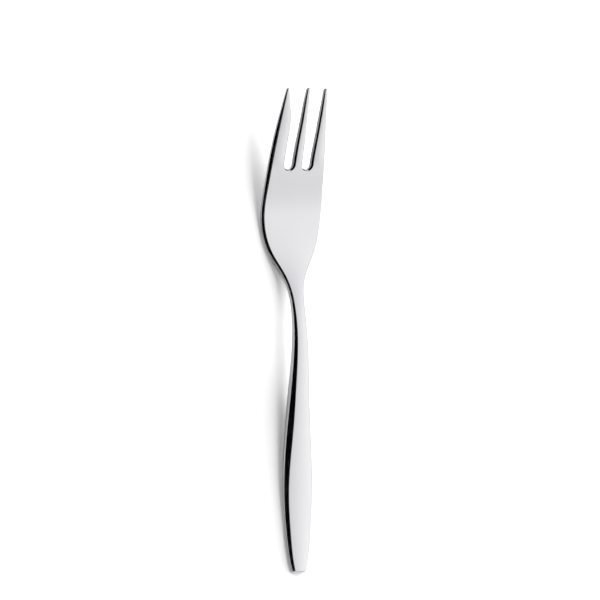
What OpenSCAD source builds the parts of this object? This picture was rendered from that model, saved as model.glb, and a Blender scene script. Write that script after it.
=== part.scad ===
// Pastry fork in polished stainless steel.
// The real fork is one piece of metal: a blank is cut out, its handle is forged
// thick, its slots are punched and its neck and tines are bent in a press.
// X runs across the fork, Y along it towards the tines, and Z up from the table.
// The origin is on the table, under the middle of the fork's length and width.

/* [Length] */
// Overall length, from the squared end of the handle to the tip of the middle tine
fork_len = 155; // [140:1:170]
// Length of the middle tine, from the bottom of the slots to its tip
tine_len = 25.6; // [22:0.2:30]
// How far the tips of the two outer tines stop short of the middle one
side_tine_back = 0.1; // [0:0.1:2]

/* [Handle] */
// Width across the squared end of the handle
end_w = 4.8; // [4:0.1:6.5]
// Radius of the corners of the squared end
end_corner_r = 1; // [0.7:0.1:1.5]
// Width of the handle at its broadest place
handle_w = 10.65; // [8:0.1:12]
// Distance from the squared end to the broadest place of the handle
handle_y = 28.5; // [22:0.5:36]
// Width of the neck at its slimmest place
neck_w = 4.5; // [3.6:0.1:6]
// Distance from the squared end to the slimmest place of the neck
neck_y = 85.5; // [79:0.5:91]

/* [Head] */
// Width of the head at its broadest place
head_w = 22; // [19:0.5:25]
// Distance from the squared end to the broadest place of the head
head_y = 116; // [112:0.5:122]
// Width across the tips of the outer tines
tips_w = 15; // [13:0.1:17]

/* [Tines] */
// Width of the middle tine at the bottom of the slots
mid_tine_w = 3.4; // [2.6:0.1:4]
// How far the middle tine's foot lies right of the centre line, which leaves the left tine broader
mid_foot_x = 0.2; // [0:0.05:0.8]
// How far the middle tine's tip lies right of the centre line
mid_tip_x = 0.55; // [0:0.05:1.2]
// Width of each slot at its rounded bottom
slot_w = 3.15; // [2.4:0.05:3.6]
// Width of a tine where the rounding of its tip starts
tip_w = 1.15; // [0.9:0.05:1.4]
// Length of the rounding of a tip
tip_nose = 0.8; // [0.6:0.1:1.4]

/* [Thickness] */
// Thickness of the handle at its squared end
end_t = 1.75; // [1.5:0.05:2.5]
// Greatest thickness of the handle
handle_t = 4; // [3:0.1:5]
// Distance from the squared end to the thickest place of the handle
thick_y = 47; // [40:0.5:54]
// Thickness of the neck at its slimmest place
neck_t = 2.3; // [1.6:0.05:3]
// Thickness of the head at its broadest place
head_t = 1.8; // [1.5:0.05:2.5]
// Thickness of the tines at the bottom of the slots
tine_t = 1.9; // [1.5:0.05:2.5]
// Thickness of the tines at their tips
tip_t = 1.2; // [0.9:0.05:1.6]

/* [Bends] */
// Length of the flat under the end of the handle, on which the fork rests
rest_len = 16; // [10:0.5:20]
// Height of the underside over the table at the top of the neck's arch
arch_h = 3.9; // [3:0.1:7]
// Distance from the squared end to the top of the neck's arch
arch_y = 77; // [70:0.5:80]
// Distance from the squared end to where the head rests on the table
belly_y = 108; // [104:0.5:112]
// Height of the underside over the table at the tips
tip_h = 13.2; // [9:0.1:18]

/* [Edges] */
// Width of the bevel round the top face at the squared end
end_bevel = 0.6; // [0.3:0.05:0.65]
// Width of the bevel beside the thickest place of the handle
handle_bevel = 1.36; // [0.8:0.02:1.6]
// Width of the bevel along the neck
neck_bevel = 0.54; // [0.3:0.02:0.8]
// Width of the bevel at the shoulders, where the head narrows to the neck
shoulder_bevel = 0.66; // [0.3:0.02:0.9]
// Width of the bevel beside the broadest place of the head
head_bevel = 0.58; // [0.3:0.02:0.9]
// Width of the bevel outside the outer tines, level with the bottom of the slots
tine_bevel = 0.76; // [0.3:0.02:0.9]
// Width of the bevel in the slots, at their bottom
slot_bevel = 0.56; // [0.3:0.02:0.7]
// Width of the bevel at the tips
tip_bevel = 0.2; // [0.1:0.02:0.24]
// Radius of the softened edge of the underside
under_r = 0.35; // [0.2:0.05:0.5]
// Radius of the softened edge of the underside at the tips
tip_under_r = 0.18; // [0.1:0.02:0.24]
// Height of the crown along the middle of the handle's top face
handle_crown = 0.15; // [0:0.01:0.3]

/* [Smoothness] */
// Steps along the handle and the head
body_steps = 54; // [30:1:80]
// Steps along each tine
tine_steps = 12; // [8:1:20]
// Steps in each rounded corner, slot bottom and tip
round_steps = 4; // [3:1:6]
// Columns of facets across each tine
tine_columns = 3; // [2:1:4]

/* [Hidden] */

// Places and sizes between the named ones, each as a share of the way from the one
// before to the one after

heel_place_share = [0.12, 0.4];
heel_width_share = [0.28, 0.67];
stem_place_share = [0.45, 0.8];
stem_width_share = [0.48, 0.9];
shoulder_place_share = [0.2, 0.36, 0.54, 0.76];
shoulder_width_share = [0.067, 0.27, 0.634, 0.91];
side_place_share = [0.2, 0.45];
side_width_share = [0.085, 0.262];

heel_thick_place_share = [0.3, 0.6];
heel_thick_share = [0.24, 0.46];
stem_thick_place_share = [0.35, 0.75];
stem_thick_share = [0.1, 0.64];
tine_thick_place_share = [0.6];
tine_thick_share = [0.25];

heel_bevel_place_share = [0.3, 0.6];
heel_bevel_share = [0.43, 0.62];
stem_bevel_place_share = [0.35, 0.75];
stem_bevel_share = [0.34, 0.7];
shoulder_bevel_place_share = [0.42, 0.6];
shoulder_bevel_share = [0.15, 1];
tine_bevel_place_share = [0.5, 0.8];
tine_bevel_share = [0.15, 0.55];

// Depth of the bevel as a share of its width, round the outside and in the slots

bevel_depth_share = 1.2;
slot_bevel_depth_share = 0.7;

rise_place_share = [0.2, 0.45, 0.7, 0.88];
rise_share = [0.064, 0.166, 0.513, 0.882];
fall_place_share = [0.3, 0.63];
fall_share = [0.186, 0.687];
sweep_place_share = [0.16, 0.4, 0.7];
sweep_share = [0.048, 0.28, 0.61];

mid_tine_place_share = [0.3, 0.6, 0.88];
mid_tine_taper_share = [0.15, 0.52, 0.78];
mid_line_place_share = [0.35, 0.7];
mid_line_share = [0.7, 0.95];
left_tine_place_share = [0.3, 0.5, 0.66, 0.82];
left_tine_share = [-0.13, -0.26, -0.15, 0.41];
right_tine_place_share = [0.3, 0.6];
right_tine_share = [0.35, 0.7];

// A curve through given points with no sudden change of bend. Its ends are straight,
// or level where level_start or level_end is true.

function curve_row(x, y, i, level_start, level_end) =
    let (last = len(x) - 1, free = (i == 0 && !level_start) || (i == last && !level_end))
    let (h = i > 0 ? x[i] - x[i - 1] : 0, k = i < last ? x[i + 1] - x[i] : 0)
    let (s = i > 0 ? (y[i] - y[i - 1]) / h : 0, t = i < last ? (y[i + 1] - y[i]) / k : 0)
    free ? [0, 1, 0, 0] : [h, 2 * (h + k), k, 6 * (t - s)];

function curve_forward(x, y, level_start, level_end, i = 0, done = []) =
    i == len(x) ? done :
    let (row = curve_row(x, y, i, level_start, level_end), before = i > 0 ? done[i - 1] : [0, 0])
    let (pivot = row[1] - row[0] * before[0])
    curve_forward(x, y, level_start, level_end, i + 1,
        concat(done, [[row[2] / pivot, (row[3] - row[0] * before[1]) / pivot]]));

function curve_back(rows, i, done = []) =
    i < 0 ? done :
    curve_back(rows, i - 1, concat([rows[i][1] - (len(done) > 0 ? rows[i][0] * done[0] : 0)], done));

function curve(x, y, level_start = false, level_end = false) =
    [x, y, curve_back(curve_forward(x, y, level_start, level_end), len(x) - 1)];

function curve_span(x, p, i = 0) = i >= len(x) - 2 || p < x[i + 1] ? i : curve_span(x, p, i + 1);

function on_curve(c, p) =
    let (i = curve_span(c[0], p), h = c[0][i + 1] - c[0][i], b = (p - c[0][i]) / h, a = 1 - b)
    a * c[1][i] + b * c[1][i + 1] + ((a ^ 3 - a) * c[2][i] + (b ^ 3 - b) * c[2][i + 1]) * h ^ 2 / 6;

function mix(a, b, share) = a + (b - a) * share;

function between(a, b, shares) = [for (share = shares) mix(a, b, share)];

// Places along the fork

slot_y = fork_len - tine_len;
slot_r = slot_w / 2;
side_tip_y = fork_len - side_tine_back;
mid_nose_y = fork_len - tip_nose;
side_nose_y = side_tip_y - tip_nose;

// Half the width of the outline, along the fork

outline = curve(
    concat([0], between(0, handle_y, heel_place_share),
        [handle_y], between(handle_y, neck_y, stem_place_share),
        [neck_y], between(neck_y, head_y, shoulder_place_share),
        [head_y], between(head_y, side_nose_y, side_place_share), [side_nose_y]),
    concat([end_w], between(end_w, handle_w, heel_width_share),
        [handle_w], between(handle_w, neck_w, stem_width_share),
        [neck_w], between(neck_w, head_w, shoulder_width_share),
        [head_w], between(head_w, tips_w, side_width_share), [tips_w]) / 2);

// Thickness along the fork

thickness = curve(
    concat([0], between(0, thick_y, heel_thick_place_share),
        [thick_y], between(thick_y, neck_y, stem_thick_place_share),
        [neck_y, head_y, slot_y], between(slot_y, fork_len, tine_thick_place_share), [fork_len]),
    concat([end_t], between(end_t, handle_t, heel_thick_share),
        [handle_t], between(handle_t, neck_t, stem_thick_share),
        [neck_t, head_t, tine_t], between(tine_t, tip_t, tine_thick_share), [tip_t]));

// Width of the bevel along the fork

bevel = curve(
    concat([0], between(0, thick_y, heel_bevel_place_share),
        [thick_y], between(thick_y, neck_y, stem_bevel_place_share),
        [neck_y], between(neck_y, head_y, shoulder_bevel_place_share),
        [head_y, slot_y], between(slot_y, fork_len, tine_bevel_place_share), [fork_len]),
    concat([end_bevel], between(end_bevel, handle_bevel, heel_bevel_share),
        [handle_bevel], between(handle_bevel, neck_bevel, stem_bevel_share),
        [neck_bevel], between(neck_bevel, shoulder_bevel, shoulder_bevel_share),
        [head_bevel, tine_bevel], between(tine_bevel, tip_bevel, tine_bevel_share), [tip_bevel]));

slot_edge_bevel = curve(
    concat([slot_y], between(slot_y, fork_len, tine_bevel_place_share), [fork_len]),
    concat([slot_bevel], between(slot_bevel, tip_bevel, tine_bevel_share), [tip_bevel]));

// Height of the underside along the fork: level on the rest, over the arch, level at
// the belly and then up to the tips

arch = curve(
    concat([rest_len], between(rest_len, arch_y, rise_place_share),
        [arch_y], between(arch_y, belly_y, fall_place_share), [belly_y]),
    concat([0], between(0, arch_h, rise_share), [arch_h], between(arch_h, 0, fall_share), [0]),
    level_start = true, level_end = true);

sweep = curve(
    concat([belly_y], between(belly_y, fork_len, sweep_place_share), [fork_len]),
    concat([0], between(0, tip_h, sweep_share), [tip_h]),
    level_start = true);

function underside(y) = y <= rest_len ? 0 : y <= belly_y ? on_curve(arch, y) : on_curve(sweep, y);

function topside(y) = underside(y) + on_curve(thickness, y);

// Height of the top face. Its crown is as steep at the narrow places as at the broadest
// one, and fades out from the neck to the broadest place of the head.

function top_half_w(y) = on_curve(outline, y) - on_curve(bevel, y);

function crown(y) =
    let (fade = min(1, max(0, (head_y - y) / (head_y - neck_y))))
    handle_crown * top_half_w(y) / top_half_w(handle_y) * fade ^ 2 * (3 - 2 * fade);

function top_height(p) = topside(p[1]) + crown(p[1]) * max(0, 1 - (p[0] / top_half_w(p[1])) ^ 2);

// Edges of the tines, across the fork. Each slot starts at the side of the middle tine.

slot_top_y = slot_y + slot_r;
left_slot_x = mid_foot_x - mid_tine_w / 2 - slot_r;
right_slot_x = mid_foot_x + mid_tine_w / 2 + slot_r;
left_foot_x = left_slot_x - slot_r;
right_foot_x = right_slot_x + slot_r;
side_tip_x = tips_w / 2 - tip_w;

mid_tine_line = curve(
    concat([slot_top_y], between(slot_top_y, mid_nose_y, mid_line_place_share), [mid_nose_y]),
    concat([mid_foot_x], between(mid_foot_x, mid_tip_x, mid_line_share), [mid_tip_x]));

mid_tine_half = curve(
    concat([slot_top_y], between(slot_top_y, mid_nose_y, mid_tine_place_share), [mid_nose_y]),
    concat([mid_tine_w], between(mid_tine_w, tip_w, mid_tine_taper_share), [tip_w]) / 2,
    level_start = true);

left_tine_edge = curve(
    concat([slot_top_y], between(slot_top_y, side_nose_y, left_tine_place_share), [side_nose_y]),
    concat([left_foot_x], between(left_foot_x, -side_tip_x, left_tine_share), [-side_tip_x]),
    level_start = true);

right_tine_edge = curve(
    concat([slot_top_y], between(slot_top_y, side_nose_y, right_tine_place_share), [side_nose_y]),
    concat([right_foot_x], between(right_foot_x, side_tip_x, right_tine_share), [side_tip_x]),
    level_start = true);

// Rows across the handle and head. The first rows turn the corners of the squared end.

corner_rows = [for (i = [0 : round_steps - 1]) 90 * i / round_steps];
body_rows = concat(
    [for (turn = corner_rows) [end_corner_r * (1 - cos(turn)), end_corner_r * (1 - sin(turn))]],
    [for (i = [0 : body_steps]) [mix(end_corner_r, slot_y, i / body_steps), 0]]);
last_row = len(body_rows) - 1;

function body_edge(j) = [on_curve(outline, body_rows[j][0]) - body_rows[j][1], body_rows[j][0]];

// Rows across a tine: round the bottom of the slots, along the tine and round its tip

tine_count = 3;
last_tine = tine_count - 1;
tine_rows = 2 * round_steps + tine_steps;
tine_tip_y = [side_tip_y, fork_len, side_tip_y];

function tine_row_y(t, k) =
    let (nose_y = tine_tip_y[t] - tip_nose, along = k - round_steps, round_tip = along - tine_steps)
    along <= 0 ? slot_y + slot_r * (1 - cos(90 * k / round_steps)) :
    round_tip <= 0 ? mix(slot_top_y, nose_y, along / tine_steps) :
    nose_y + tip_nose * sin(90 * round_tip / round_steps);

// Left and right edge of tine t at height y, below its rounded tip

function tine_sides(t, y) =
    let (mid_x = on_curve(mid_tine_line, y), mid_half = on_curve(mid_tine_half, y))
    t == 0 ? [-on_curve(outline, y), on_curve(left_tine_edge, y)] :
    t == 1 ? [mid_x - mid_half, mid_x + mid_half] :
    [on_curve(right_tine_edge, y), on_curve(outline, y)];

// Left and right edge of tine t where it stands between the rounded slot bottoms

function root_sides(t, k) =
    let (y = tine_row_y(t, k), reach = slot_r * sin(90 * k / round_steps))
    [t == 0 ? -on_curve(outline, y) : (t == 1 ? left_slot_x : right_slot_x) + reach,
     t == 2 ? on_curve(outline, y) : (t == 0 ? left_slot_x : right_slot_x) - reach];

function tip_sides(t, k) =
    let (turn = 90 * (k - round_steps - tine_steps) / round_steps)
    let (sides = tine_sides(t, tine_tip_y[t] - tip_nose), middle = (sides[0] + sides[1]) / 2)
    [mix(middle, sides[0], cos(turn)), mix(middle, sides[1], cos(turn))];

function tine_edge(t, k, side) =
    let (y = tine_row_y(t, k))
    [(k <= round_steps ? root_sides(t, k) :
      k <= round_steps + tine_steps ? tine_sides(t, y) :
      tip_sides(t, k))[side], y];

// The rim is the whole outline of the fork, clockwise from the left corner of the
// squared end, round each tine and slot in turn, and back across the squared end

columns = tine_count * tine_columns;
end_half_w = body_edge(0)[0];
rim = concat(
    [for (j = [0 : last_row]) [-body_edge(j)[0], body_edge(j)[1]]],
    [for (t = [0 : last_tine]) each concat(
        [for (k = [1 : tine_rows]) tine_edge(t, k, 0)],
        [for (k = [tine_rows - 1 : -1 : 0]) tine_edge(t, k, 1)])],
    [for (j = [last_row - 1 : -1 : 0]) body_edge(j)],
    [for (c = [columns - 1 : -1 : 1]) [mix(-end_half_w, end_half_w, c / columns), 0]]);
rim_count = len(rim);

function rim_left(j) = j;
function rim_right(j) = 2 * last_row + 2 * tine_count * tine_rows - j;
function rim_end(c) = rim_right(0) + columns - c;
function tine_left(t, k) = last_row + 2 * tine_rows * t + k;
function tine_right(t, k) = last_row + 2 * tine_rows * (t + 1) - k;

// Direction that points out of the metal at a point of the rim

function outward(i) =
    let (ahead = rim[(i + 1) % rim_count] - rim[(i + rim_count - 1) % rim_count])
    [-ahead[1], ahead[0]] / norm(ahead);

// The section of the rim, from the top face down the bevel, the wall and the softened
// edge to the underside: how far in it lies and at what height

under_rounding = [for (turn = [0, 45, 90]) [1 - cos(turn), 1 - sin(turn)]];
levels = 2 + len(under_rounding);

function in_slot(i) = i > tine_left(0, tine_rows) && i < tine_left(last_tine, tine_rows);

function under_round(y) = mix(under_r, tip_under_r, max(0, (y - slot_y) / tine_len));

function rim_section(i) =
    let (p = rim[i], out = outward(i), r = under_round(p[1]))
    let (b = on_curve(in_slot(i) ? slot_edge_bevel : bevel, p[1]), inner = p - out * b)
    let (depth = b * (in_slot(i) ? slot_bevel_depth_share : bevel_depth_share))
    let (rise = top_height(inner) - topside(inner[1]))
    concat(
        [[inner[0], inner[1], top_height(inner)]],
        [[p[0], p[1], topside(p[1]) + rise - depth]],
        [for (turn = under_rounding)
            let (q = p - out * r * turn[0]) [q[0], q[1], underside(q[1]) + r * turn[1]]]);

sections = [for (i = [0 : rim_count - 1]) rim_section(i)];

// Points inside the rim, on the top face (face 0) and on the underside (face 1)

function edge_level(face) = face == 0 ? 0 : levels - 1;

function edge_point(face, i) = let (p = sections[i][edge_level(face)]) [p[0], p[1]];

function face_point(face, p) = [p[0], p[1], face == 0 ? top_height(p) : underside(p[1])];

function tine_point(face, t, k, a) =
    let (left = edge_point(face, tine_left(t, k)), right = edge_point(face, tine_right(t, k)))
    face_point(face, mix(left, right, a / tine_columns));

// Where each column meets the last row of the head, as a share of its width

function column_x(c) =
    let (t = min(last_tine, floor(c / tine_columns)))
    mix(edge_point(0, tine_left(t, 0)), edge_point(0, tine_right(t, 0)), c / tine_columns - t)[0];

column_share = [for (c = [0 : columns]) (column_x(c) - column_x(0)) / (column_x(columns) - column_x(0))];

function body_point(face, j, c) =
    face_point(face, mix(edge_point(face, rim_left(j)), edge_point(face, rim_right(j)), column_share[c]));

body_points = [for (face = [0, 1]) each
    [for (j = [1 : last_row - 1]) each [for (c = [1 : columns - 1]) body_point(face, j, c)]]];
tine_points = [for (face = [0, 1]) each
    [for (t = [0 : last_tine]) each
        [for (k = [0 : tine_rows - 1]) each [for (a = [1 : tine_columns - 1]) tine_point(face, t, k, a)]]]];

first_body_point = rim_count * levels;
first_tine_point = first_body_point + len(body_points);

// Number of each point in the list of points

function rim_at(i, level) = (i % rim_count) * levels + level;

function tine_at(face, t, k, a) =
    k == tine_rows || a == 0 ? rim_at(tine_left(t, k), edge_level(face)) :
    a == tine_columns ? rim_at(tine_right(t, k), edge_level(face)) :
    first_tine_point + ((face * tine_count + t) * tine_rows + k) * (tine_columns - 1) + a - 1;

function body_at(face, j, c) =
    let (t = min(last_tine, floor(c / tine_columns)))
    c == 0 ? rim_at(rim_left(j), edge_level(face)) :
    c == columns ? rim_at(rim_right(j), edge_level(face)) :
    j == 0 ? rim_at(rim_end(c), edge_level(face)) :
    j == last_row ? tine_at(face, t, 0, c - t * tine_columns) :
    first_body_point + (face * (last_row - 1) + j - 1) * (columns - 1) + c - 1;

// Two facets for each four-sided patch, less any that a tip shrinks to nothing

function patch(a, b, c, d) =
    [for (f = [[a, b, c], [a, c, d]]) if (f[0] != f[1] && f[1] != f[2] && f[2] != f[0]) f];

function face_patch(face, a, b, c, d) = face == 0 ? patch(a, b, c, d) : patch(d, c, b, a);

facets = concat(
    [for (i = [0 : rim_count - 1], level = [0 : levels - 2]) each
        patch(rim_at(i, level), rim_at(i, level + 1), rim_at(i + 1, level + 1), rim_at(i + 1, level))],
    [for (face = [0, 1], j = [0 : last_row - 1], c = [0 : columns - 1]) each
        face_patch(face, body_at(face, j, c), body_at(face, j + 1, c),
            body_at(face, j + 1, c + 1), body_at(face, j, c + 1))],
    [for (face = [0, 1], t = [0 : last_tine], k = [0 : tine_rows - 1], a = [0 : tine_columns - 1]) each
        face_patch(face, tine_at(face, t, k, a), tine_at(face, t, k + 1, a),
            tine_at(face, t, k + 1, a + 1), tine_at(face, t, k, a + 1))]);

points = concat([for (section = sections) each section], body_points, tine_points);

// The whole fork: handle, neck, head and three tines in one piece of steel

module fork() {
    color("gainsboro")
        translate([0, -fork_len / 2, 0])
            polyhedron(points = points, faces = facets, convexity = 6);
}

fork();
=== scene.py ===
"""Pastry fork in polished stainless steel, lying face up on a white table.

The fork is made as a real one is: a flat blank with its outline, slots, thickness and
bevelled edges, which a press then bends over a die.
"""

import math

import bpy
import numpy as np
from mathutils import Matrix, Vector


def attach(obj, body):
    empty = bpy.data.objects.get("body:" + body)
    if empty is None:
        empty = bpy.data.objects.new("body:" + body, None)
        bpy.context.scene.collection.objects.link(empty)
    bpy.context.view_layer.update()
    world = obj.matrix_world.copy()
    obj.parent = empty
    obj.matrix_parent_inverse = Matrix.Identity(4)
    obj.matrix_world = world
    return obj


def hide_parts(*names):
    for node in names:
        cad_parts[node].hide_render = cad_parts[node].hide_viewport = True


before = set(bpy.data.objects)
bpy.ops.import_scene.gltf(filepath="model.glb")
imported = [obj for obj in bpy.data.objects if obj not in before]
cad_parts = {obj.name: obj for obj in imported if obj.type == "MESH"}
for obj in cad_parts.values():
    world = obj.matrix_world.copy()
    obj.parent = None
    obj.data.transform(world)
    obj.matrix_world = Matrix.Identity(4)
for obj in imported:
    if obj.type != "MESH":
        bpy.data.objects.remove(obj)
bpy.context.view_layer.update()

MM = 0.001

# Sizes, in mm
# While the blank is made, Y is measured from the squared end of the handle.

FORK_LEN = 155.0
TINE_LEN = 25.6
SIDE_TINE_BACK = 0.1

END_W, END_CORNER_R = 4.8, 1.0
HANDLE_W, HANDLE_Y = 10.65, 28.5
NECK_W, NECK_Y = 4.5, 85.5
HEAD_W, HEAD_Y = 22.0, 116.0
TIPS_W = 15.0

MID_TINE_W, MID_FOOT_X, MID_TIP_X = 3.4, 0.2, 0.55
SLOT_W = 3.15
TIP_W, TIP_NOSE = 1.15, 0.8

END_T, HANDLE_T, THICK_Y = 1.75, 4.0, 47.0
NECK_T, HEAD_T, TINE_T, TIP_T = 2.3, 1.8, 1.9, 1.2

REST_LEN = 16.0
ARCH_H, ARCH_Y = 3.9, 77.0
BELLY_Y, TIP_H = 108.0, 13.2

END_BEVEL, HANDLE_BEVEL, NECK_BEVEL = 0.6, 1.42, 0.54
SHOULDER_BEVEL, HEAD_BEVEL, TINE_BEVEL = 0.66, 0.65, 0.76
SLOT_BEVEL, TIP_BEVEL = 0.67, 0.2
HANDLE_UNDER_R, UNDER_R, TIP_UNDER_R = 0.9, 0.35, 0.18
HANDLE_CROWN = 0.15
TINES = 3
# Slope of a tine's top face beside its bevels, and the length over which it sets in.
TINE_TILT, TINE_FADE = 0.085, 4.0

SLOT_Y = FORK_LEN - TINE_LEN
SLOT_R = SLOT_W / 2
SLOT_TOP_Y = SLOT_Y + SLOT_R
SIDE_TIP_Y = FORK_LEN - SIDE_TINE_BACK
SIDE_NOSE_Y = SIDE_TIP_Y - TIP_NOSE
MID_NOSE_Y = FORK_LEN - TIP_NOSE


# Curves

def smooth_curve(x, y, level_start=False, level_end=False):
    """Curve through points with no sudden change of bend, straight or level at its ends."""
    x, y = np.array(x, float), np.array(y, float)
    step, last = np.diff(x), len(x) - 1
    slope = np.diff(y) / step
    rows, right = np.eye(last + 1), np.zeros(last + 1)
    for i in range(last + 1):
        if (i == 0 and not level_start) or (i == last and not level_end):
            continue
        before = step[i - 1] if i > 0 else 0
        after = step[i] if i < last else 0
        rows[i, i] = 2 * (before + after)
        if i > 0:
            rows[i, i - 1] = before
        if i < last:
            rows[i, i + 1] = after
        right[i] = 6 * ((slope[i] if i < last else 0) - (slope[i - 1] if i > 0 else 0))
    bend = np.linalg.solve(rows, right)

    def at(p):
        p = np.asarray(p, float)
        i = np.clip(np.searchsorted(x, p, side="right") - 1, 0, last - 1)
        b = (p - x[i]) / step[i]
        a = 1 - b
        return a * y[i] + b * y[i + 1] + (
            (a ** 3 - a) * bend[i] + (b ** 3 - b) * bend[i + 1]) * step[i] ** 2 / 6
    return at


def through(*stops):
    """Places from a list of stops, where a tuple holds shares of the way to the next."""
    out = []
    for i, stop in enumerate(stops):
        if isinstance(stop, tuple):
            out += [stops[i - 1] + (stops[i + 1] - stops[i - 1]) * share for share in stop]
        else:
            out.append(stop)
    return np.array(out)


outline = smooth_curve(
    through(0, (0.12, 0.4), HANDLE_Y, (0.45, 0.8), NECK_Y, (0.2, 0.36, 0.54, 0.76),
            HEAD_Y, (0.2, 0.45), SIDE_NOSE_Y),
    through(END_W, (0.28, 0.67), HANDLE_W, (0.48, 0.9), NECK_W, (0.067, 0.27, 0.634, 0.91),
            HEAD_W, (0.085, 0.262), TIPS_W) / 2)

thickness = smooth_curve(
    through(0, (0.3, 0.6), THICK_Y, (0.35, 0.75), NECK_Y, HEAD_Y, SLOT_Y, (0.6,), FORK_LEN),
    through(END_T, (0.24, 0.46), HANDLE_T, (0.1, 0.64), NECK_T, HEAD_T, TINE_T, (0.25,), TIP_T))

bevel = smooth_curve(
    through(0, (0.3, 0.6), THICK_Y, (0.35, 0.75), NECK_Y, (0.42, 0.6), HEAD_Y, SLOT_Y,
            (0.5, 0.8), FORK_LEN),
    np.concatenate([
        through(END_BEVEL, (0.43, 0.62), HANDLE_BEVEL, (0.38, 0.75), NECK_BEVEL),
        through(NECK_BEVEL, (0.15, 1.0), SHOULDER_BEVEL)[1:-1],
        through(HEAD_BEVEL, TINE_BEVEL, (0.15, 0.55), TIP_BEVEL)]))

slot_bevel = smooth_curve(
    through(SLOT_Y, (0.5, 0.8), FORK_LEN), through(SLOT_BEVEL, (0.27, 0.44), TIP_BEVEL))

arch = smooth_curve(
    through(REST_LEN, (0.2, 0.45, 0.7, 0.88), ARCH_Y, (0.3, 0.63), BELLY_Y),
    through(0, (0.064, 0.166, 0.513, 0.882), ARCH_H, (0.186, 0.687), 0),
    level_start=True, level_end=True)

sweep = smooth_curve(
    through(BELLY_Y, (0.16, 0.4, 0.7), FORK_LEN), through(0, (0.048, 0.28, 0.61), TIP_H),
    level_start=True)

MID_SIDE_W = MID_TINE_W / 2
LEFT_SLOT_X = MID_FOOT_X - MID_SIDE_W - SLOT_R
RIGHT_SLOT_X = MID_FOOT_X + MID_SIDE_W + SLOT_R
SIDE_TIP_X = TIPS_W / 2 - TIP_W

mid_line = smooth_curve(
    through(SLOT_TOP_Y, (0.35, 0.7), MID_NOSE_Y), through(MID_FOOT_X, (0.7, 0.95), MID_TIP_X))
mid_half = smooth_curve(
    through(SLOT_TOP_Y, (0.3, 0.6, 0.88), MID_NOSE_Y),
    through(MID_SIDE_W, (0.15, 0.52, 0.78), TIP_W / 2), level_start=True)
left_tine_edge = smooth_curve(
    through(SLOT_TOP_Y, (0.3, 0.5, 0.66, 0.82), SIDE_NOSE_Y),
    through(LEFT_SLOT_X - SLOT_R, (-0.13, -0.26, -0.15, 0.41), -SIDE_TIP_X), level_start=True)
right_tine_edge = smooth_curve(
    through(SLOT_TOP_Y, (0.3, 0.6), SIDE_NOSE_Y),
    through(RIGHT_SLOT_X + SLOT_R, (0.35, 0.7), SIDE_TIP_X), level_start=True)


def underside(y):
    """Height of the underside after the press: level rest, arch of the neck, swept tines."""
    y = np.asarray(y, float)
    over = np.clip(y, REST_LEN, BELLY_Y)
    swept = sweep(np.maximum(y, BELLY_Y))
    return np.where(y <= REST_LEN, 0, np.where(y <= BELLY_Y, arch(over), swept))


def ease(share):
    """Share from 0 to 1 that starts and ends level."""
    share = np.clip(share, 0, 1)
    return share ** 2 * (3 - 2 * share)


def tine_side(t, side, y):
    """Left (0) or right (1) edge of tine t, from the bottom of its slots to its nose."""
    if t == 1:
        return mid_line(y) + (mid_half(y) if side else -mid_half(y))
    if t == 0:
        return left_tine_edge(y) if side else -outline(y)
    return outline(y) if side else right_tine_edge(y)


def crown(x, y):
    """Rise of the top face between its edges, at one point."""
    if y < SLOT_Y:
        half = outline(y) - bevel(y)
        widest = outline(HANDLE_Y) - bevel(HANDLE_Y)
        fade = ease((HEAD_Y - y) / (HEAD_Y - NECK_Y))
        return float(HANDLE_CROWN * half / widest * fade * max(0, 1 - (x / half) ** 2))
    along = min(max(y, SLOT_TOP_Y), SIDE_NOSE_Y)
    gaps = [(tine_side(t, 1, along) + tine_side(t + 1, 0, along)) / 2 for t in range(TINES - 1)]
    t = sum(x > gap for gap in gaps)
    left = tine_side(t, 0, along) + (bevel if t == 0 else slot_bevel)(y)
    right = tine_side(t, 1, along) - (bevel if t == TINES - 1 else slot_bevel)(y)
    half = (right - left) / 2
    from_middle = min(1, abs(x - (left + right) / 2) / half)
    return float(TINE_TILT * half / 2 * ease((y - SLOT_Y) / TINE_FADE) * (1 - from_middle ** 2))


# The flat blank

# Rows and columns of its faces. The last rows of the head fan out over FAN_LEN to meet the
# tines, whose outer edges start ROOT_LEN before the slots.
CORNER_STEPS = 10
BODY_STEPS = 250
ROOT_STEPS = 14
TINE_STEPS = 64
NOSE_STEPS = 10
TINE_COLUMNS = 8
FAN_ROWS = 6
FAN_LEN = 2.4
ROOT_LEN = 0.9
ROOT_Y = SLOT_Y - ROOT_LEN
TINE_ROWS = ROOT_STEPS + TINE_STEPS + NOSE_STEPS
COLUMNS = TINES * TINE_COLUMNS


def body_rows():
    """Height along the fork and corner inset of each row of the handle and head."""
    turn = np.linspace(0, math.pi / 2, CORNER_STEPS, endpoint=False)
    straight = np.linspace(END_CORNER_R, ROOT_Y - FAN_LEN, BODY_STEPS)
    fan = np.linspace(ROOT_Y - FAN_LEN, ROOT_Y, FAN_ROWS + 1)[1:]
    y = np.concatenate([END_CORNER_R * (1 - np.cos(turn)), straight, fan])
    inset = np.zeros_like(y)
    inset[:CORNER_STEPS] = END_CORNER_R * (1 - np.sin(turn))
    return y, inset


ROW_Y, ROW_INSET = body_rows()
LAST_ROW = len(ROW_Y) - 1
LAST_STRAIGHT = LAST_ROW - FAN_ROWS


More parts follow.
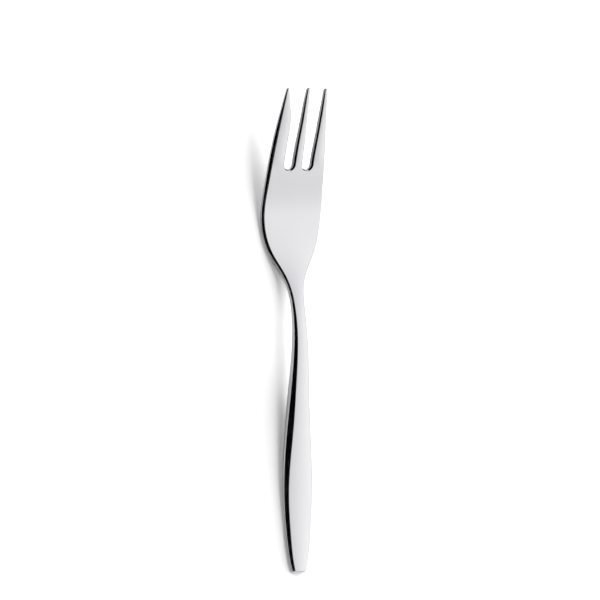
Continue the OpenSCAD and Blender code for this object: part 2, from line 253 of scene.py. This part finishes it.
def tine_edges(t):
    """Left and right edge of tine t, from its root to its tip."""
    tip_y = FORK_LEN if t == 1 else SIDE_TIP_Y
    nose_y = tip_y - TIP_NOSE
    root = np.linspace(0, math.pi / 2, ROOT_STEPS, endpoint=False)
    nose = np.linspace(0, math.pi / 2, NOSE_STEPS + 1)[1:]
    edges = []
    for side in (0, 1):
        outer = t == (TINES - 1) * side and t != 1
        low = ROOT_Y if outer else SLOT_Y
        y = np.concatenate([
            low + (SLOT_TOP_Y - low) * (1 - np.cos(root)),
            np.linspace(SLOT_TOP_Y, nose_y, TINE_STEPS + 1), nose_y + TIP_NOSE * np.sin(nose)])
        if outer:
            x = (2 * side - 1) * outline(np.minimum(y, nose_y))
        else:
            x = tine_side(t, side, np.clip(y, SLOT_TOP_Y, nose_y))
            slot_x = LEFT_SLOT_X if t + side == 1 else RIGHT_SLOT_X
            x[:ROOT_STEPS] = slot_x + (1 - 2 * side) * SLOT_R * np.sin(root)
        edges.append(np.stack([x, y], 1))
    middle = (edges[0][:, 0] + edges[1][:, 0]) / 2
    narrow = np.ones_like(middle)
    narrow[-NOSE_STEPS:] = np.cos(nose)
    for edge in edges:
        edge[:, 0] = middle + (edge[:, 0] - middle) * narrow
    return edges


# Numbers of the rim's points: the left and right ends of row j, point c along the squared
# end, and the left and right edges of tine t at row k.

def rim_left(j):
    return j


def rim_right(j):
    return 2 * LAST_ROW + 2 * TINES * TINE_ROWS - j


def rim_end(c):
    return rim_right(0) + COLUMNS - c


def tine_left(t, k):
    return LAST_ROW + 2 * TINE_ROWS * t + k


def tine_right(t, k):
    return LAST_ROW + 2 * TINE_ROWS * (t + 1) - k


def make_rim():
    """Whole outline, clockwise from the left corner of the squared end, and its outward way."""
    half = outline(ROW_Y) - ROW_INSET
    points = list(zip(-half, ROW_Y))
    for t in range(TINES):
        left, right = tine_edges(t)
        points += [tuple(p) for p in left[1:]] + [tuple(p) for p in right[-2::-1]]
    points += list(zip(half[-2::-1], ROW_Y[-2::-1]))
    points += [(half[0] * (2 * c / COLUMNS - 1), 0.0) for c in range(COLUMNS - 1, 0, -1)]
    rim = np.array(points)
    after = np.roll(rim, -1, axis=0) - rim
    before = np.roll(after, 1, axis=0)
    a_len = np.linalg.norm(after, axis=1, keepdims=True)
    b_len = np.linalg.norm(before, axis=1, keepdims=True)
    way = after / a_len * b_len + before / b_len * a_len
    way /= np.linalg.norm(way, axis=1, keepdims=True)
    return rim, np.stack([-way[:, 1], way[:, 0]], 1)


# Steps round each rounding of the rim, and the strip beside it that holds the flat flat
# and loses a share of its width towards the tips.
EDGE_ARC, WALL_ARC, UNDER_ARC = 4, 9, 7
KEEP, KEEP_LOSS = 0.07, 0.7
# Rounding from the top face to the bevel, and its largest share of the bevel's width.
EDGE_R, TINE_EDGE_R, EDGE_SHARE = 0.2, 0.4, 0.55
# Rounding from the bevel to the wall, its largest share of the bevel's width, and how much
# of that share the neck loses. The head has more of it, which fades out to both sides.
WALL_R, NECK_WALL_R, TINE_WALL_R = 1.3, 0.2, 0.12
WALL_SHARE, WALL_SHARE_LOSS = 0.8, 0.4
HEAD_WALL_R, HEAD_WALL_LEN = 0.24, 14.0
# Depth of the bevel as a share of its width. In the slots the edges that face left have
# the flat bevel, and those that face right keep the steep one of the outside.
HANDLE_BEVEL_SLOPE, BEVEL_SLOPE, SLOT_BEVEL_SLOPE = 1.4, 1.2, 0.6
# Polishing takes this much off, so the fork stays inside the size it was cut to.
POLISHED_OFF = 0.008


def edge_section(b, slope, edge_r, wall_r, under_r, keep):
    """Rows of the rim's profile, from the top face over the bevel and wall to the underside.

    Each row says how far in it is, which face its depth is measured from, that depth, and
    whether it lies on the wall. A rounding leads from the top face to the bevel, another
    from the bevel to the wall and a third under the wall. The rows at distance keep
    beside each of them hold the flats flat.
    """
    steep = math.atan(slope)
    t1 = edge_r * math.tan(steep / 2)
    t2 = wall_r * math.tan((math.pi / 2 - steep) / 2)
    section = [(b + t1 + keep, "top", 0.0, 0.0)]
    for a in np.linspace(0, steep, EDGE_ARC + 1):
        section.append((b + t1 - edge_r * math.sin(a), "top", edge_r * (1 - math.cos(a)), 0.0))
    top_end = section[-1][0]
    low_start = wall_r * (1 - math.sin(steep))
    for u in (top_end - keep, low_start + keep):
        section.append((u, "top", (b - u) * slope, 0.0))
    low = b * slope + t2
    for a in np.linspace(steep, math.pi / 2, WALL_ARC + 1):
        on_wall = float(a > (steep + math.pi / 2) / 2)
        section.append((wall_r * (1 - math.sin(a)), "top", low - wall_r * math.cos(a), on_wall))
    section.append((0.0, "top", low + keep, 1.0))
    section.append((0.0, "under", under_r + keep, 1.0))
    for a in np.linspace(0, math.pi / 2, UNDER_ARC + 1):
        section.append((under_r * (1 - math.cos(a)), "under", under_r * (1 - math.sin(a)), 1.0))
    section.append((under_r + keep, "under", 0.0, 0.0))
    return section


def finished_edge(p, out, in_slot):
    """Points of the edge's profile at a point of the rim, and whether each is on the wall."""
    # on_tine, slim, soft and bulk are shares: the way along the tines, the way from the
    # thick handle to the neck, the way from the neck to the slots, and how thick the metal
    # is. turned is 1 where the edge belongs to a slot, and to_left is 1 where it faces left
    # and 0 where it faces right.
    on_tine = max(0.0, (p[1] - SLOT_Y) / TINE_LEN)
    slim = ease((p[1] - THICK_Y) / (NECK_Y - THICK_Y))
    soft = ease((p[1] - NECK_Y) / (SLOT_Y - NECK_Y))
    bulk = ease((float(thickness(p[1])) - HEAD_T) / (HANDLE_T - HEAD_T))
    turned = 1.0 if in_slot else ease((p[1] - SIDE_NOSE_Y) / TIP_NOSE)
    to_left = (1 - out[0]) / 2

    b = float(bevel(p[1]))
    b += (float(slot_bevel(p[1])) - b) * turned
    slope = (HANDLE_BEVEL_SLOPE + (BEVEL_SLOPE - HANDLE_BEVEL_SLOPE) * slim
             + (SLOT_BEVEL_SLOPE - BEVEL_SLOPE) * to_left * turned)
    edge_r = min(EDGE_R + (TINE_EDGE_R - EDGE_R) * soft, EDGE_SHARE * b)
    under_r = UNDER_R + (HANDLE_UNDER_R - UNDER_R) * bulk + (TIP_UNDER_R - UNDER_R) * on_tine
    wall_r = WALL_R + (NECK_WALL_R - WALL_R) * slim + (TINE_WALL_R - NECK_WALL_R) * soft
    wall_r = min(wall_r, (WALL_SHARE - WALL_SHARE_LOSS * slim) * b)
    if not in_slot:
        wall_r += HEAD_WALL_R * ease(1 - abs(p[1] - HEAD_Y) / HEAD_WALL_LEN)
    keep = KEEP * (1 - KEEP_LOSS * on_tine)

    inner = p - out * b
    rise = crown(inner[0], inner[1])
    rows, walls = [], []
    for u, side, depth, on_wall in edge_section(b, slope, edge_r, wall_r, under_r, keep):
        q = p - out * u
        if side == "top":
            lift = crown(q[0], q[1]) if u >= b else rise
            rows.append((q[0], q[1], float(thickness(q[1])) - POLISHED_OFF + lift - depth))
        else:
            rows.append((q[0], q[1], depth))
        walls.append(on_wall)
    return rows, walls


def add_face(faces, corners):
    """Adds a face, without the corners that repeat the one before."""
    kept = [c for n, c in enumerate(corners) if c != corners[n - 1]]
    if len(kept) > 2:
        faces.append(kept)


def place_tines(edge, edge_ids, add_point):
    """For each tine the numbers of its points, by row from root to tip and by column."""
    tines = []
    for t in range(TINES):
        at = {}
        for k in range(TINE_ROWS + 1):
            left, right = edge[tine_left(t, k)], edge[tine_right(t, k)]
            for a in range(TINE_COLUMNS + 1):
                if a == 0 or k == TINE_ROWS:
                    at[k, a] = edge_ids[tine_left(t, k)]
                elif a == TINE_COLUMNS:
                    at[k, a] = edge_ids[tine_right(t, k)]
                else:
                    at[k, a] = add_point(left + (right - left) * a / TINE_COLUMNS)
        tines.append(at)
    return tines


def place_body(edge, edge_ids, root, root_ids, add_point):
    """Numbers of the body's points, by row from the squared end to the tines and by column."""
    share = (root[:, 0] - root[0, 0]) / (root[-1, 0] - root[0, 0])
    at = {}
    for j in range(LAST_ROW + 1):
        straight = min(j, LAST_STRAIGHT)
        left, right = edge[rim_left(straight)], edge[rim_right(straight)]
        fan = (j - straight) / FAN_ROWS
        for c in range(COLUMNS + 1):
            if c == 0 or c == COLUMNS:
                at[j, c] = edge_ids[rim_left(j) if c == 0 else rim_right(j)]
            elif j == 0:
                at[j, c] = edge_ids[rim_end(c)]
            elif j == LAST_ROW:
                at[j, c] = root_ids[c]
            else:
                p = left + (right - left) * share[c]
                at[j, c] = add_point(p + (root[c] - p) * fan)
    return at


def fill_face(points, faces, edge, edge_ids, is_top):
    """Fills the top face or the underside with rows and columns that meet its edge."""
    def add_point(p):
        z = float(thickness(p[1])) - POLISHED_OFF + crown(p[0], p[1]) if is_top else 0.0
        points.append((p[0], p[1], z))
        return len(points) - 1

    def add_grid(at, rows, columns):
        for r in range(rows):
            for c in range(columns):
                corners = at[r, c], at[r, c + 1], at[r + 1, c + 1], at[r + 1, c]
                add_face(faces, corners if is_top else corners[::-1])

    tines = place_tines(edge, edge_ids, add_point)
    root_ids = []
    for c in range(COLUMNS + 1):
        t = min(TINES - 1, c // TINE_COLUMNS)
        root_ids.append(tines[t][0, c - t * TINE_COLUMNS])
    root = np.array([points[i][:2] for i in root_ids])
    add_grid(place_body(edge, edge_ids, root, root_ids, add_point), LAST_ROW, COLUMNS)
    for at in tines:
        add_grid(at, TINE_ROWS, TINE_COLUMNS)


def make_blank():
    """Points and faces of the flat blank, with its underside at height 0.

    Also gives, for each point, whether it lies on the punched wall of a slot.
    """
    rim, outward = make_rim()
    rim = rim - outward * POLISHED_OFF
    first_slot, last_slot = tine_left(0, TINE_ROWS), tine_left(TINES - 1, TINE_ROWS)
    sections, slot_wall = [], []
    for i, (p, out) in enumerate(zip(rim, outward)):
        in_slot = first_slot < i < last_slot
        rows, walls = finished_edge(p, out, in_slot)
        sections.append(rows)
        slot_wall += walls if in_slot else [0.0] * len(walls)
    sections = np.array(sections)
    count, levels = sections.shape[:2]

    points = [tuple(p) for p in sections.reshape(-1, 3)]
    faces = []
    for i in range(count):
        here, ahead = i * levels, (i + 1) % count * levels
        for level in range(levels - 1):
            add_face(faces, (here + level, ahead + level, ahead + level + 1, here + level + 1))
    for level in (0, levels - 1):
        edge_ids = range(level, count * levels, levels)
        fill_face(points, faces, sections[:, level, :2], edge_ids, level == 0)

    points = np.array(points)
    points[:, 1] -= FORK_LEN / 2
    slot_wall += [0.0] * (len(points) - len(slot_wall))
    return points * MM, faces, slot_wall


# Small helpers

def add_node(tree, kind, settings=None, **inputs):
    """Adds a node, sets its properties and fills or links its inputs by name or number."""
    node = tree.nodes.new(kind)
    for name, value in (settings or {}).items():
        setattr(node, name, value)
    for name, value in inputs.items():
        place = int(name[1:]) if name[0] == "_" and name[1:].isdigit() else name.replace("_", " ")
        socket = node.inputs[place]
        if isinstance(value, bpy.types.NodeSocket):
            tree.links.new(value, socket)
        else:
            socket.default_value = value
    return node


def linear(hex_colour):
    """Linear colour of an sRGB hex value."""
    parts = [int(hex_colour[i:i + 2], 16) / 255 for i in (1, 3, 5)]
    return tuple(
        c / 12.92 if c <= 0.04045 else ((c + 0.055) / 1.055) ** 2.4 for c in parts) + (1.0,)


def mesh_object(name, points, faces=(), edges=()):
    mesh = bpy.data.meshes.new(name)
    mesh.from_pydata([tuple(p) for p in points], list(edges), list(faces))
    obj = bpy.data.objects.new(name, mesh)
    bpy.context.scene.collection.objects.link(obj)
    return obj


# The press

# Distance between the points of the die line.
DIE_PITCH = 0.05


def press_tree():
    """Bends a flat blank over a die line that runs along Y, and gives it its metal."""
    tree = bpy.data.node_groups.new("press", "GeometryNodeTree")
    interface = tree.interface
    interface.new_socket("Blank", in_out="INPUT", socket_type="NodeSocketGeometry")
    interface.new_socket("Die", in_out="INPUT", socket_type="NodeSocketObject")
    interface.new_socket("Die start", in_out="INPUT", socket_type="NodeSocketFloat")
    interface.new_socket("Die pitch", in_out="INPUT", socket_type="NodeSocketFloat")
    interface.new_socket("Metal", in_out="INPUT", socket_type="NodeSocketMaterial")
    interface.new_socket("Fork", in_out="OUTPUT", socket_type="NodeSocketGeometry")
    given = add_node(tree, "NodeGroupInput").outputs
    info = add_node(tree, "GeometryNodeObjectInfo", _1=False, Object=given["Die"])
    die = info.outputs["Geometry"]
    place = add_node(tree, "GeometryNodeInputPosition").outputs[0]
    y = add_node(tree, "ShaderNodeSeparateXYZ", Vector=place).outputs["Y"]
    past = add_node(tree, "ShaderNodeMath", {"operation": "SUBTRACT"},
                    _0=y, _1=given["Die start"]).outputs[0]
    steps = add_node(tree, "ShaderNodeMath", {"operation": "DIVIDE"},
                     _0=past, _1=given["Die pitch"]).outputs[0]
    whole = add_node(tree, "ShaderNodeMath", {"operation": "FLOOR"}, _0=steps).outputs[0]
    share = add_node(tree, "ShaderNodeMath", {"operation": "SUBTRACT"},
                     _0=steps, _1=whole).outputs[0]
    after = add_node(tree, "ShaderNodeMath", {"operation": "ADD"},
                     _0=whole, _1=1.0).outputs[0]
    heights = []
    for index in (whole, after):
        sample = add_node(tree, "GeometryNodeSampleIndex",
                          {"data_type": "FLOAT_VECTOR", "clamp": True},
                          Geometry=die, Value=place, Index=index).outputs[0]
        heights.append(add_node(tree, "ShaderNodeSeparateXYZ", Vector=sample).outputs["Z"])
    rise = add_node(tree, "ShaderNodeMix", {"data_type": "FLOAT"},
                    _0=share, _2=heights[0], _3=heights[1]).outputs[0]
    offset = add_node(tree, "ShaderNodeCombineXYZ", Z=rise).outputs[0]
    bent = add_node(tree, "GeometryNodeSetPosition",
                    Geometry=given["Blank"], Offset=offset).outputs[0]
    smooth = add_node(tree, "GeometryNodeSetShadeSmooth", Geometry=bent).outputs[0]
    real = add_node(tree, "GeometryNodeRealizeInstances", Geometry=smooth).outputs[0]
    metal = add_node(tree, "GeometryNodeSetMaterial",
                     Geometry=real, Material=given["Metal"]).outputs[0]
    add_node(tree, "NodeGroupOutput", _0=metal)
    return tree


def press(blank, steel):
    """Presses the blank and returns it as a plain mesh."""
    along = np.arange(0, FORK_LEN + DIE_PITCH, DIE_PITCH)
    line = np.stack([np.zeros_like(along), along - FORK_LEN / 2, underside(along)], 1) * MM
    die = mesh_object("press_die", line, edges=[(i, i + 1) for i in range(len(line) - 1)])
    tree = press_tree()
    modifier = blank.modifiers.new("press", "NODES")
    modifier.node_group = tree
    sizes = {"Die": die, "Die start": -FORK_LEN / 2 * MM, "Die pitch": DIE_PITCH * MM,
             "Metal": steel}
    for item in tree.interface.items_tree:
        if item.in_out == "INPUT" and item.name in sizes:
            modifier[item.identifier] = sizes[item.name]
    bpy.context.view_layer.update()
    graph = bpy.context.evaluated_depsgraph_get()
    pressed = bpy.data.meshes.new_from_object(blank.evaluated_get(graph))
    blank.modifiers.clear()
    blank.data = pressed
    bpy.data.objects.remove(die)
    return blank


# The steel

# Colour and roughness of the polished steel, which varies between two, and of the punched
# slot walls, whose duller finish is real and whose darker colour is painted shade.
STEEL, SHEARED_SHADED_STEEL = "#CCCCCE", "#9C9C9F"
POLISH, SHEARED_ROUGHNESS = (0.10, 0.16), 0.5
# In mm: distance between the wheel's slow waves and their height, then width, length and
# height of its marks, then size of the duller patches. The polish turns dull over
# PATCH_RANGE of their noise.
WAVE_WIDE, WAVE_HIGH = 9, 0.02
MARK_WIDE, MARK_LONG, MARK_HIGH = 0.3, 12, 0.0012
PATCH_WIDE, PATCH_RANGE = 15, (0.35, 0.65)


def polished_stainless_steel():
    """Stainless steel, ground along the fork and then polished on a soft wheel.

    The eye gets an even, bright mirror that goes black where a dark part of the room
    stands in it. Its reflections are a little soft, run a little unevenly over the slow
    waves that the wheel leaves, and carry faint lines along the fork.
    """
    material = bpy.data.materials.new("polished_stainless_steel")
    material.use_nodes = True
    tree = material.node_tree
    shader = tree.nodes["Principled BSDF"]
    shader.inputs["Metallic"].default_value = 1.0
    place = add_node(tree, "ShaderNodeTexCoord").outputs["Object"]

    # A punch shears the slots, and the wheel doesn't reach in, so their walls stay dull.
    # Their darker colour is painted shade, which stands for the shade in the narrow slots between
    # the tines.
    wall = add_node(tree, "ShaderNodeAttribute", {"attribute_name": "slot_wall"})
    sheared_and_shaded = wall.outputs["Fac"]
    colour = add_node(tree, "ShaderNodeMix", {"data_type": "RGBA"}, _0=sheared_and_shaded,
                      _6=linear(STEEL), _7=linear(SHEARED_SHADED_STEEL)).outputs[2]
    tree.links.new(colour, shader.inputs["Base Color"])

    # Slow waves of the polishing wheel.
    waves = add_node(tree, "ShaderNodeTexNoise",
                     Vector=place, Scale=1 / (WAVE_WIDE * MM), Detail=1.0).outputs[0]
    # Wheel marks are about 0.03 mm wide. They are drawn ten times as wide, about one pixel
    # of the picture, because finer ones wouldn't show.
    stretched = add_node(tree, "ShaderNodeMapping", Vector=place,
                         Scale=(1.0, MARK_WIDE / MARK_LONG, 1.0)).outputs[0]
    marks = add_node(tree, "ShaderNodeTexNoise",
                     Vector=stretched, Scale=1 / (MARK_WIDE * MM), Detail=2.0).outputs[0]
    waved = add_node(tree, "ShaderNodeBump", Height=waves, Distance=WAVE_HIGH * MM,
                     Strength=1.0).outputs[0]
    marked = add_node(tree, "ShaderNodeBump", Height=marks, Distance=MARK_HIGH * MM,
                      Strength=1.0, Normal=waved).outputs[0]
    tree.links.new(marked, shader.inputs["Normal"])
    # Handling leaves the polish a little duller in soft patches.
    patches = add_node(tree, "ShaderNodeTexNoise",
                       Vector=place, Scale=1 / (PATCH_WIDE * MM), Detail=3.0).outputs[0]
    rough = add_node(tree, "ShaderNodeMapRange", _0=patches, _1=PATCH_RANGE[0],
                     _2=PATCH_RANGE[1], _3=POLISH[0], _4=POLISH[1]).outputs[0]
    both = add_node(tree, "ShaderNodeMix", {"data_type": "FLOAT"}, _0=sheared_and_shaded,
                    _2=rough, _3=SHEARED_ROUGHNESS).outputs[0]
    tree.links.new(both, shader.inputs["Roughness"])
    return material


# The studio

# The photograph is taken from the left of the fork, 30 degrees off straight down, with the
# camera turned a little round its own axis.
TILT = math.radians(30)
ROLL = 0.02556
DISTANCE = 900 * MM
# The camera aims this far to the right of the fork's middle and above it in the picture.
AIM_RIGHT, AIM_UP = 2.659 * MM, 10.246 * MM
PIXELS_PER_MM = 3.10911
PICTURE = 600
SENSOR = 36.0
NEAREST, FARTHEST = 0.01, 20

# Sizes of the room are in metres.
FLOOR_HALF = 6.0
# Way from the fork to the middle of the panel, its distance, half its width and length.
PANEL_TOWARDS = 0.50, 0.06, 0.86
PANEL_AWAY, PANEL_WIDE, PANEL_LONG = 2.8, 1.9, 2.3
# How bright the panel is over a range of X or Y of the way from the fork to a place on it.
PANEL_ACROSS, PANEL_LEVELS, PANEL_LEAST = (0.05, 0.60), (0.476, 1.50), 0.76
PANEL_NEAR, NEAR_LEVEL = (-0.56, -0.24), 0.82
PANEL_FAR, FAR_LEVEL = (0.15, 0.60), 0.87
PANEL_COOL, PANEL_TINTS = (0.25, 0.45), ("#FFFEFE", "#FBFAFF")
CLOTH_AWAY, CLOTH_STEPS, CLOTH_ROUGHNESS = 4.5, 24, 0.9
BLACK = "#050505"
# Turns from +X towards +Y and lifts from the floor, in degrees. The outer bevels show the
# low cloth as black, and the bevels in the slots the high one.
LOW_CLOTH = (154, 256), (0, 32)
HIGH_CLOTH = (96, 276), (36, 80)
# Distance of the lamps, and for each its way from the fork, width, height and level.
LAMP_AWAY = 1.8
KEY_LAMP = (0.794, 0.207, 0.572), 4.31, 2.42, 2.71
STRIP_LAMP = (0.950, 0.198, 0.242), 4.32, 0.36, 1.34
FILL_LAMP = (-0.572, 0.729, 0.377), 0.57, 0.61, 0.60
# White of the paper for light and metal, and for the camera. The photograph's print shows
# the lit paper as plain white, and the second value does the same.
PAPER_WHITE, PAPER_PRINTED = 0.95, 1.25
# Between these distances the paper turns into plain white, away from the fork's shadow.
FAR_PAPER = 0.25, 0.6
ROOM_FILL = 0.012


def make_camera():
    """Camera on the left of the fork, turned a little round its own axis."""
    away = Vector((-math.sin(TILT), 0, math.cos(TILT)))
    across = Vector((math.cos(TILT), 0, math.sin(TILT)))
    along = Vector((0, 1, 0))
    right = across * math.cos(ROLL) - along * math.sin(ROLL)
    up = across * math.sin(ROLL) + along * math.cos(ROLL)
    data = bpy.data.cameras.new("camera")
    data.sensor_width = SENSOR
    data.lens = PIXELS_PER_MM * DISTANCE / MM / PICTURE * SENSOR
    data.clip_start, data.clip_end = NEAREST, FARTHEST
    camera = bpy.data.objects.new("camera", data)
    turn = Matrix((right, up, away)).transposed().to_4x4()
    turn.translation = right * AIM_RIGHT + up * AIM_UP + away * DISTANCE
    camera.matrix_world = turn
    bpy.context.scene.collection.objects.link(camera)
    bpy.context.scene.camera = camera


def seen_share(tree):
    """1 for what the camera sees, straight or in the metal, and 0 for light that spreads."""
    path = add_node(tree, "ShaderNodeLightPath").outputs
    seen = add_node(tree, "ShaderNodeMath", {"operation": "MAXIMUM"},
                    _0=path["Is Camera Ray"], _1=path["Is Glossy Ray"]).outputs[0]
    return add_node(tree, "ShaderNodeMath", {"operation": "MAXIMUM"},
                    _0=seen, _1=path["Is Transmission Ray"]).outputs[0]


def make_floor():
    """White paper that runs out of sight and keeps the fork's shadow."""
    corners = [(x * FLOOR_HALF, y * FLOOR_HALF, 0)
               for x, y in ((-1, -1), (1, -1), (1, 1), (-1, 1))]
    floor = mesh_object("floor", corners, [(0, 1, 2, 3)])
    material = bpy.data.materials.new("matt_white_paper")
    material.use_nodes = True
    tree = material.node_tree
    tree.nodes.clear()
    straight = add_node(tree, "ShaderNodeLightPath").outputs["Is Camera Ray"]
    white = add_node(tree, "ShaderNodeMapRange",
                     _0=straight, _3=PAPER_WHITE, _4=PAPER_PRINTED).outputs[0]
    matt = add_node(tree, "ShaderNodeBsdfDiffuse", Color=white).outputs[0]
    place = add_node(tree, "ShaderNodeTexCoord").outputs["Object"]
    length = add_node(tree, "ShaderNodeVectorMath", {"operation": "LENGTH"}, _0=place)
    far = add_node(tree, "ShaderNodeMapRange", {"interpolation_type": "SMOOTHSTEP"},
                   _0=length.outputs["Value"], _1=FAR_PAPER[0], _2=FAR_PAPER[1]).outputs[0]
    share = add_node(tree, "ShaderNodeMath", {"operation": "MULTIPLY"},
                     _0=far, _1=seen_share(tree)).outputs[0]
    plain = add_node(tree, "ShaderNodeEmission").outputs[0]
    both = add_node(tree, "ShaderNodeMixShader", _0=share, _1=matt, _2=plain).outputs[0]
    add_node(tree, "ShaderNodeOutputMaterial", Surface=both)
    floor.data.materials.append(material)
    return floor


def make_panel():
    """Sheet of diffusion over the fork's right side, which only the metal shows.

    It is brighter towards the lamp behind it, and the lamps give the light instead of it.
    """
    centre = Vector(PANEL_TOWARDS).normalized()
    along = Vector((0, 1, 0))
    across = along.cross(centre).normalized()
    along = centre.cross(across).normalized()
    corners = [centre * PANEL_AWAY + across * sx * PANEL_WIDE + along * sy * PANEL_LONG
               for sx, sy in ((-1, -1), (-1, 1), (1, 1), (1, -1))]
    panel = mesh_object("diffusion_panel", corners, [(0, 1, 2, 3)])
    material = bpy.data.materials.new("lit_diffusion_sheet")
    material.use_nodes = True
    tree = material.node_tree
    tree.nodes.clear()
    place = add_node(tree, "ShaderNodeTexCoord").outputs["Object"]
    way = add_node(tree, "ShaderNodeVectorMath", {"operation": "NORMALIZE"}, _0=place).outputs[0]
    split = add_node(tree, "ShaderNodeSeparateXYZ", Vector=way).outputs
    rising = add_node(tree, "ShaderNodeMapRange", _0=split["X"], _1=PANEL_ACROSS[0],
                      _2=PANEL_ACROSS[1], _3=PANEL_LEVELS[0], _4=PANEL_LEVELS[1]).outputs[0]
    across = add_node(tree, "ShaderNodeMath", {"operation": "MAXIMUM"},
                      _0=rising, _1=PANEL_LEAST).outputs[0]
    near = add_node(tree, "ShaderNodeMapRange", {"interpolation_type": "SMOOTHSTEP"},
                    _0=split["Y"], _1=PANEL_NEAR[0], _2=PANEL_NEAR[1],
                    _3=NEAR_LEVEL, _4=1.0).outputs[0]
    far = add_node(tree, "ShaderNodeMapRange", {"interpolation_type": "SMOOTHSTEP"},
                   _0=split["Y"], _1=PANEL_FAR[0], _2=PANEL_FAR[1],
                   _3=1.0, _4=FAR_LEVEL).outputs[0]
    both = add_node(tree, "ShaderNodeMath", {"operation": "MULTIPLY"}, _0=near, _1=far).outputs[0]
    strength = add_node(tree, "ShaderNodeMath", {"operation": "MULTIPLY"},
                        _0=across, _1=both).outputs[0]
    far_end = add_node(tree, "ShaderNodeMapRange", {"interpolation_type": "SMOOTHSTEP"},
                       _0=split["Y"], _1=PANEL_COOL[0], _2=PANEL_COOL[1]).outputs[0]
    tint = add_node(tree, "ShaderNodeMix", {"data_type": "RGBA"}, _0=far_end,
                    _6=linear(PANEL_TINTS[0]), _7=linear(PANEL_TINTS[1])).outputs[2]
    glow = add_node(tree, "ShaderNodeEmission", Color=tint, Strength=strength).outputs[0]
    add_node(tree, "ShaderNodeOutputMaterial", Surface=glow)
    panel.data.materials.append(material)
    panel.visible_camera = panel.visible_diffuse = False
    return panel


def make_cloth(name, turns, lifts):
    """Black cloth between two turns and two lifts, which only the metal shows."""
    turns = np.radians(np.linspace(*turns, CLOTH_STEPS))
    lifts = np.radians(np.linspace(*lifts, CLOTH_STEPS))
    points = [(CLOTH_AWAY * math.cos(a) * math.cos(e), CLOTH_AWAY * math.sin(a) * math.cos(e),
               CLOTH_AWAY * math.sin(e)) for a in turns for e in lifts]
    n = len(lifts)
    faces = [(i * n + j, i * n + j + 1, (i + 1) * n + j + 1, (i + 1) * n + j)
             for i in range(len(turns) - 1) for j in range(n - 1)]
    cloth = mesh_object(name, points, faces)
    material = bpy.data.materials.new("matt_black_cloth")
    material.use_nodes = True
    shader = material.node_tree.nodes["Principled BSDF"]
    shader.inputs["Base Color"].default_value = linear(BLACK)
    shader.inputs["Roughness"].default_value = CLOTH_ROUGHNESS
    shader.inputs["Specular IOR Level"].default_value = 0.0
    cloth.data.materials.append(material)
    cloth.visible_camera = cloth.visible_diffuse = cloth.visible_shadow = False
    return cloth


def make_lamp(name, towards, wide, high, level):
    """Soft lamp that faces the fork. The metal doesn't show it, because it shows the panel."""
    data = bpy.data.lights.new(name, "AREA")
    data.shape = "RECTANGLE"
    data.size, data.size_y = wide, high
    data.energy = level * math.pi ** 2 * LAMP_AWAY ** 2
    lamp = bpy.data.objects.new(name, data)
    way = Vector(towards).normalized()
    across = Vector((0, 0, 1)).cross(way).normalized()
    turn = Matrix((across, way.cross(across), way)).transposed().to_4x4()
    turn.translation = way * LAMP_AWAY
    lamp.matrix_world = turn
    lamp.visible_glossy = False
    lamp.visible_camera = False
    bpy.context.scene.collection.objects.link(lamp)


def make_world():
    """White room for the camera and the metal, and next to no light from it."""
    world = bpy.data.worlds.new("room")
    world.use_nodes = True
    tree = world.node_tree
    tree.nodes.clear()
    strength = add_node(tree, "ShaderNodeMapRange", _0=seen_share(tree),
                        _3=ROOM_FILL, _4=1.0).outputs[0]
    sky = add_node(tree, "ShaderNodeBackground", Strength=strength).outputs[0]
    add_node(tree, "ShaderNodeOutputWorld", Surface=sky)
    bpy.context.scene.world = world


# Putting it together

steel = polished_stainless_steel()
points, faces, slot_wall = make_blank()
blank = mesh_object("forged_fork", points, faces)
blank.data.attributes.new("slot_wall", "FLOAT", "POINT").data.foreach_set("value", slot_wall)
fork = press(blank, steel)
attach(fork, "root")
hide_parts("fork")

make_camera()
for thing in (make_floor(), make_panel(), make_cloth("low_cloth", *LOW_CLOTH),
              make_cloth("high_cloth", *HIGH_CLOTH)):
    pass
make_lamp("key_lamp", *KEY_LAMP)
make_lamp("strip_lamp", *STRIP_LAMP)
make_lamp("fill_lamp", *FILL_LAMP)
make_world()
bpy.context.scene.view_settings.view_transform = "Standard"
